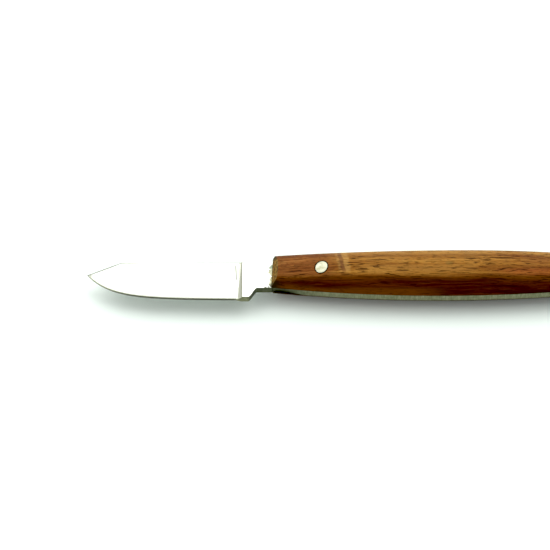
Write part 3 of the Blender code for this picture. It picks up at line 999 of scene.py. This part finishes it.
def rosewood():
    """Oiled golden-brown rosewood: grain along the knife, dashes of open pore, slanting figure,
    painted light on the far side and painted shade on the near side.
    """
    made, tree, shader = finish("oiled rosewood", 0.0, 0.5)
    shader.inputs["Specular IOR Level"].default_value = 0.1
    x, y, z = place_mm(tree)
    drift = noise(x * 0.035, y * 0.10, z * 0.12, 2.0) * 3.0
    across, deep = y + drift, z + drift * 0.6
    bands = noise(x * 0.014, across * 0.42, deep * 0.42, 3.0, 0.55)
    streaks = noise(x * 0.045, across * 2.4, deep * 2.4, 4.0, 0.65)
    fibres = noise(x * 0.30, across * 8.0, deep * 8.0, 3.0, 0.65)
    tone = bands * 0.40 + streaks * 0.40 + fibres * 0.20
    golden = ramp(tone, (0.36, (0.100, 0.026, 0.003)), (0.46, (0.190, 0.068, 0.009)),
                  (0.54, (0.270, 0.112, 0.017)), (0.64, (0.380, 0.185, 0.036)))
    red = ramp(tone, (0.36, (0.070, 0.014, 0.003)), (0.46, (0.135, 0.037, 0.007)),
               (0.54, (0.200, 0.067, 0.015)), (0.64, (0.290, 0.115, 0.030)))
    # Painted light: the far side is paler gold, where the light from behind falls fuller.
    golden = blend(between(y + (bands - 0.5) * 6.0, 1.5, 5.5) * 0.35, golden, (0.46, 0.25, 0.065))
    front = 1.0 - between(x + streaks * 8.0, -12.0, -2.0)
    rear = between(x, 28.0, 50.0) * between(noise(x * 0.05, y * 0.3, z * 0.3, 2.0), 0.36, 0.60)
    colour = blend(highest(front * 0.9, rear * 0.7), golden, red)

    slant = x + y * 0.16 + (noise(x * 0.4, y * 0.5, z * 0.5, 3.0) - 0.5) * 1.4
    upper_half = between(y, -2.9, -0.9)
    pale = band(slant, *FIGURE[0:4])
    grey = band(slant, *FIGURE[2:6])
    pale_again = band(slant, *FIGURE[4:8])
    colour = blend(highest(pale * 0.6, pale_again) * upper_half * 0.42, colour, (0.46, 0.27, 0.085))
    colour = blend(grey * upper_half * 0.42, colour, (0.125, 0.058, 0.034))
    shimmer = noise((x + y * 0.2) * 0.33 + 4.0, y * 0.06, z * 0.06, 1.0)
    colour = blend(between(shimmer, 0.35, 0.65) * 0.22, colour, (0.62, 0.52, 0.34), "SOFT_LIGHT")

    sap = band(y + bands, -2.4, -1.2, 0.2, 1.4) * band(x, -8.0, 0.0, 24.0, 36.0)
    colour = blend(sap * 0.35, colour, (0.44, 0.22, 0.048))
    glow = between(x, 34.0, 44.0) * band(y, -3.6, -2.4, -1.6, -0.2)
    colour = blend(glow * 0.35, colour, (0.34, 0.075, 0.022))

    # Painted shade: the near side, turned from the light, grows darker and redder in two steps; a
    # band along the near edge towards the front is kept less dark.
    sway = noise(x * 0.05, y * 0.15, z * 0.15, 3.0, 0.6) - 0.5
    near = y * -1.0 + sway * 2.6 + (fibres - 0.5) * 1.6
    half_shade_wood = ramp(tone, (0.36, (0.050, 0.010, 0.001)), (0.50, (0.120, 0.036, 0.005)),
                (0.64, (0.210, 0.078, 0.012)))
    deep_shade_wood = ramp(tone, (0.38, (0.014, 0.002, 0.0004)), (0.50, (0.046, 0.007, 0.0008)),
                 (0.62, (0.115, 0.028, 0.003)))
    colour = blend(between(near, 2.0, 3.6), colour, half_shade_wood)
    colour = blend(between(near, 3.1, 4.7), colour, deep_shade_wood)
    to_edge = near_side(x) + y + (streaks - 0.5) * 2.0
    rim_wide = 0.8 + 0.7 * between(x, -14.0, 0.0)
    rim = (1.0 - between(to_edge - rim_wide, -0.5, 0.5)) * (1.0 - between(x, 12.0, 26.0))
    colour = blend(rim * 0.7, colour, (0.140, 0.045, 0.006))

    cluster = between(noise(x * 0.05, across * 0.30, deep * 0.30, 2.0), 0.40, 0.60)
    cluster = highest(cluster, between(x, 24.0, 34.0) * 0.9)
    dashes = noise(x * 0.27, across * 3.2, deep * 3.2, 1.0, 0.4)
    fine = noise(x * 0.5 + 7.0, across * 7.5, deep * 7.5, 1.0, 0.4)
    open_pores = between(dashes, 0.585, 0.655) * (0.20 + cluster * 0.80)
    fine_pores = between(fine, 0.63 - between(x, 24.0, 34.0) * 0.02, 0.68) * 0.85
    pores = highest(open_pores, fine_pores)
    for pore in LONG_PORES:
        spread = oval_share(x, y + drift * 0.03, *pore)
        pores = highest(pores, (1.0 - between(spread, 0.4, 1.2)) * between(fine + dashes, 0.72, 0.96))
    colour = blend(pores * 0.9, colour, (0.026, 0.006, 0.001))
    green_spot = 1.0 - between(oval_share(x, y, 23.6, 1.0, 1.3, 0.8), 0.1, 1.4)
    colour = blend(green_spot * 0.40, colour, (0.110, 0.085, 0.022))
    stain = (1.0 - between(x, -28.9, -26.6)) * between(y * -1.0, 3.4, 4.6)
    colour = blend(stain * 0.9, colour, (0.018, 0.011, 0.004))
    link(colour, shader.inputs["Base Color"])
    link(0.44 + fibres * 0.14 + pores * 0.15, shader.inputs["Roughness"])
    relief(shader, fibres * 0.25 + streaks * 0.25 - pores, 0.035)
    return made


def end_grain():
    """The scales' sloping front ends: golden, dotted with pores, darker at the foot and towards both
    sides.
    """
    made, tree, shader = finish("rosewood end grain", 0.0, 0.6)
    shader.inputs["Specular IOR Level"].default_value = 0.15
    x, y, z = place_mm(tree)
    tone = noise(x * 1.5, y * 1.4, z * 1.6, 4.0, 0.6)
    dots = noise(x * 4.0, y * 5.0, z * 5.0, 1.0, 0.4)
    colour = ramp(tone, (0.38, (0.070, 0.030, 0.004)), (0.50, (0.175, 0.088, 0.014)),
                  (0.62, (0.330, 0.190, 0.042)))
    # Darker towards both sides of the end face.
    darker_sides = highest(between(y, 3.6, 4.6), 1.0 - between(y + z * 0.5, -0.6, 0.4))
    pores = between(dots, 0.60, 0.68)
    foot = 1.0 - between(distance_from(z, MIDDLE), 1.60, 2.10)
    dark = highest(highest(darker_sides * 0.92, pores * 0.7), foot * 0.95)
    link(blend(dark, colour, (0.045, 0.034, 0.012)), shader.inputs["Base Color"])
    link(0.55 + tone * 0.15, shader.inputs["Roughness"])
    relief(shader, tone * 0.4 - pores, 0.03)
    return made


def nickel_silver():
    """The pins: pale yellowish metal with fine grinding scratches, a little cloudy."""
    made, tree, shader = finish("ground nickel silver", 1.0, 0.3)
    x, y, z = place_mm(tree)
    scratches = noise(x * 1.2 + y * 2.0, y * 9.0 - x * 6.0, z, 3.0, 0.7)
    cloud = noise(x * 0.9, y * 0.9, z * 0.5, 3.0)
    link(ramp(cloud * 0.7 + scratches * 0.3, (0.36, (0.36, 0.345, 0.24)), (0.50, (0.48, 0.47, 0.36)),
              (0.64, (0.56, 0.55, 0.46))), shader.inputs["Base Color"])
    link(0.44 + scratches * 0.12 + cloud * 0.06, shader.inputs["Roughness"])
    relief(shader, scratches, 0.004)
    return made


def dark_resin_and_gap_shade():
    """The bond line: brown-black, dulled by sanding dust. It is also painted shade on the pins' sides
    and their holes' walls.
    """
    made, tree, shader = finish("dark bonding resin and gap shade", 0.0, 0.6)
    x, y, z = place_mm(tree)
    dust = noise(x * 1.4, y * 1.4, z * 1.0, 3.0)
    link(ramp(dust, (0.35, (0.012, 0.008, 0.005)), (0.70, (0.05, 0.035, 0.02))),
         shader.inputs["Base Color"])
    link(0.5 + dust * 0.2, shader.inputs["Roughness"])
    relief(shader, dust, 0.01)
    return made


def squeezed_resin():
    """The bead: cream, grey green towards the back, with dark dust in it and a dark near end."""
    made, tree, shader = finish("squeezed resin", 0.0, 0.5)
    x, y, z = place_mm(tree)
    lumps = noise(x * 1.6, y * 1.6, z * 1.6, 3.0, 0.6)
    cream = ramp(lumps, (0.35, (0.60, 0.58, 0.36)), (0.65, (0.80, 0.78, 0.56)))
    green = ramp(lumps, (0.35, (0.16, 0.20, 0.13)), (0.65, (0.45, 0.50, 0.38)))
    colour = blend(band(y, 1.2, 1.9, 3.0, 3.6), cream, green)
    specks = between(noise(x * 2.5, y * 2.5, z * 2.5, 2.0), 0.60, 0.68)
    near = 1.0 - between(y, -4.6, -3.2)
    link(blend(highest(specks * 0.8, near * 0.85), colour, (0.03, 0.03, 0.015)),
         shader.inputs["Base Color"])
    link(0.45 + lumps * 0.2, shader.inputs["Roughness"])
    relief(shader, lumps, 0.08)
    return made


def table_top():
    made, _, shader = finish("matt white table", 0.0, 0.7)
    shader.inputs["Specular IOR Level"].default_value = 0.1
    shader.inputs["Base Color"].default_value = (0.87, 0.925, 0.905, 1.0)
    return made


# ---------------------------------------------------------------- studio


VIEW_RISE = 57.0  # degrees above the table
VIEW_AT = (-28.9, -0.61, PLATE_HIGH)
VIEW_WIDE = 166.4
VIEW_AWAY = 900.0
SENSOR = 36.0
BLACK = 0.012  # darker than this shows as black, as with a contrasty camera
SKY_DIM, SKY_PANEL, SKY_WALL = 0.56, 1.60, 0.80  # light of the room, the panel and the back wall
SKY_LINE = 1.08  # and of the plain white distance


def make_camera():
    rise = math.radians(VIEW_RISE)
    aim = Vector((VIEW_AT[0], VIEW_AT[1] + AXIS_Y, VIEW_AT[2])) * MM
    data = bpy.data.cameras.new("camera")
    data.sensor_width = SENSOR
    data.lens = SENSOR * VIEW_AWAY / VIEW_WIDE
    data.clip_start, data.clip_end = 0.01, 20.0  # metres
    camera = bpy.data.objects.new("camera", data)
    camera.location = aim + Vector((0.0, -math.cos(rise), math.sin(rise))) * VIEW_AWAY * MM
    camera.rotation_euler = (math.radians(90.0 - VIEW_RISE), 0.0, 0.0)
    bpy.context.scene.collection.objects.link(camera)
    bpy.context.scene.camera = camera


def make_floor():
    half = 4.0
    corners = [(-half, -half, 0.0), (half, -half, 0.0), (half, half, 0.0), (-half, half, 0.0)]
    mesh = bpy.data.meshes.new("table")
    mesh.from_pydata(corners, [], [(0, 1, 2, 3)])
    mesh.materials.append(table_top())
    floor = bpy.data.objects.new("table", mesh)
    bpy.context.scene.collection.objects.link(floor)


def make_sky():
    """Soft light from a broad white panel high behind the knife, over a pale back wall."""
    world = bpy.data.worlds.new("studio")
    world.use_nodes = True
    tree = world.node_tree
    way = tree.nodes.new("ShaderNodeTexCoord")
    parts = tree.nodes.new("ShaderNodeSeparateXYZ")
    tree.links.new(way.outputs["Generated"], parts.inputs[0])
    y, z = (Field(tree, parts.outputs[axis]) for axis in "YZ")
    overhead = between(z, 0.945, 0.985)
    panel = between(z, 0.34, 0.62) * (1.0 - overhead) * between(y, -0.30, 0.10)
    wall = between(y, 0.0, 0.6)
    strength = SKY_DIM * (1.0 - overhead * 0.6) + panel * SKY_PANEL + wall * SKY_WALL
    skyline = 1.0 - between(distance_from(z, 0.0), 0.08, 0.12)
    strength = highest(strength, skyline * SKY_LINE)
    sky = tree.nodes["Background"]
    sky.inputs["Color"].default_value = (0.97, 1.0, 0.96, 1.0)
    link(strength, sky.inputs["Strength"])
    bpy.context.scene.world = world


def make_studio():
    make_camera()
    make_floor()
    make_sky()
    develop = bpy.context.scene.view_settings
    develop.view_transform = "Standard"
    develop.use_curve_mapping = True
    develop.curve_mapping.black_level = (BLACK, BLACK, BLACK)
    develop.curve_mapping.update()


# ---------------------------------------------------------------- the knife


def stand_in(piece, node):
    """The piece takes a CAD node's place, and rides on the knife's one body."""
    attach(piece, "root")
    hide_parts(node)


def make_knife():
    stand_in(make_blade_and_tang(), "blade_and_tang")
    # The dark resin finish is also painted shade in the gaps round the pins.
    bond = dark_resin_and_gap_shade()
    wood = [rosewood(), end_grain(), bond]
    domed = scale_tree(wood[0])
    upper = make_scale("domed_scale_upper", PLATE_HIGH + SEAT, 1.0, domed, *wood)
    lower = make_scale("domed_scale_lower", PLATE_LOW - SEAT, -1.0, domed, *wood)
    stand_in(upper, "scale_upper")
    stand_in(lower, "scale_lower")
    pale = nickel_silver()
    flush = pin_tree(pale)
    for node in PIN_X:
        stand_in(make_pin(node, flush, pale, bond), node)
    upper_film = make_film("bond_line_upper", PLATE_HIGH + FILM_GAP, bond, ledge=False)
    lower_film = make_film("bond_line_lower", PLATE_LOW - FILM_GAP - FILM, bond, ledge=True)
    stand_in(upper_film, "resin_film_upper")
    stand_in(lower_film, "resin_film_lower")
    squeezed = squeezed_resin()
    stand_in(make_bead(squeezed), "resin_bead_front")
    crumbs = make_crumbs("resin_crumbs_near", crumb_tree(squeezed), squeezed)
    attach(crumbs, "root")


make_studio()
make_knife()
